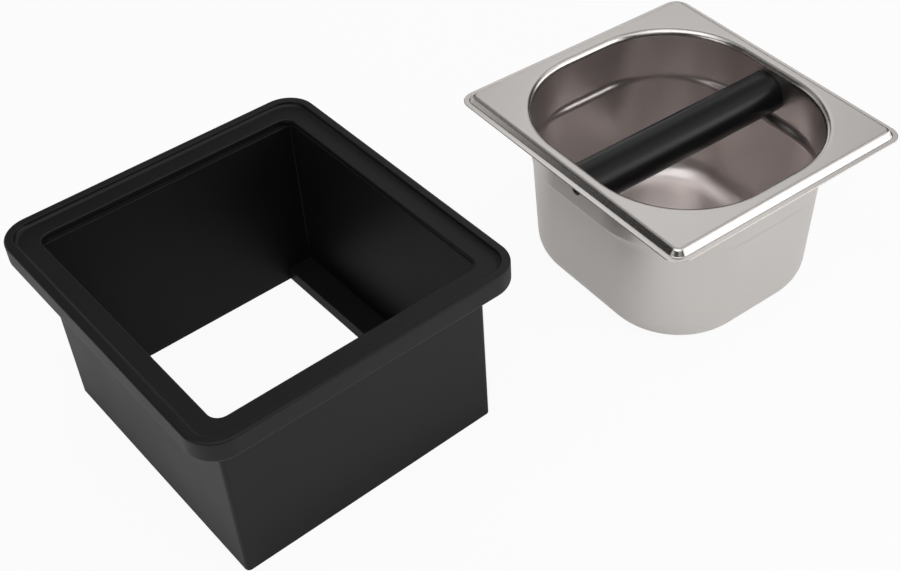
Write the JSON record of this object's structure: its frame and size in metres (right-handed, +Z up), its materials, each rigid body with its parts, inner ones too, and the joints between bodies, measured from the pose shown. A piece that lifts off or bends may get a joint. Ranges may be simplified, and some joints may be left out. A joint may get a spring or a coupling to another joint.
{
  "type": "coffee grounds bin",
  "caption": "Coffee grounds bin: an open rectangular housing with a recessed rim, and beside it the deep steel pan that drops into it, with a rubber-covered knock bar.",
  "frame": {"origin": "middle of the footprint of the housing and the pan together, at floor level", "axes": "+X from the housing towards the pan, +Y along the housing's other side, +Z up"},
  "size_m": [0.4018, 0.2398, 0.1062],
  "materials": {
    "housing_plastic": "matt black with a fine moulded grain",
    "pan_steel": "satin steel, softly reflecting",
    "core_steel": "drawn steel rod",
    "sleeve_rubber": "smooth black rubber with a soft sheen",
    "screw_steel": "blackened steel"
  },
  "bodies": {
    "housing": {"housing": "housing_plastic"},
    "pan": {"pan": "pan_steel", "bar_core": "core_steel", "screw_left": "screw_steel", "screw_right": "screw_steel"},
    "sleeve": {"bar_sleeve": "sleeve_rubber"}
  },
  "joints": [
    {"name": "pan_lift", "type": "slide", "parent": "housing", "child": "pan", "axis": [0, 0, 1], "range_m": [0, 0.12]},
    {"name": "sleeve_turn", "type": "hinge", "parent": "pan", "child": "sleeve", "pos_m": [0.11535, -0.02772, 0.0825], "axis": [0.9982, -0.0595, 0], "continuous": true}
  ]
}
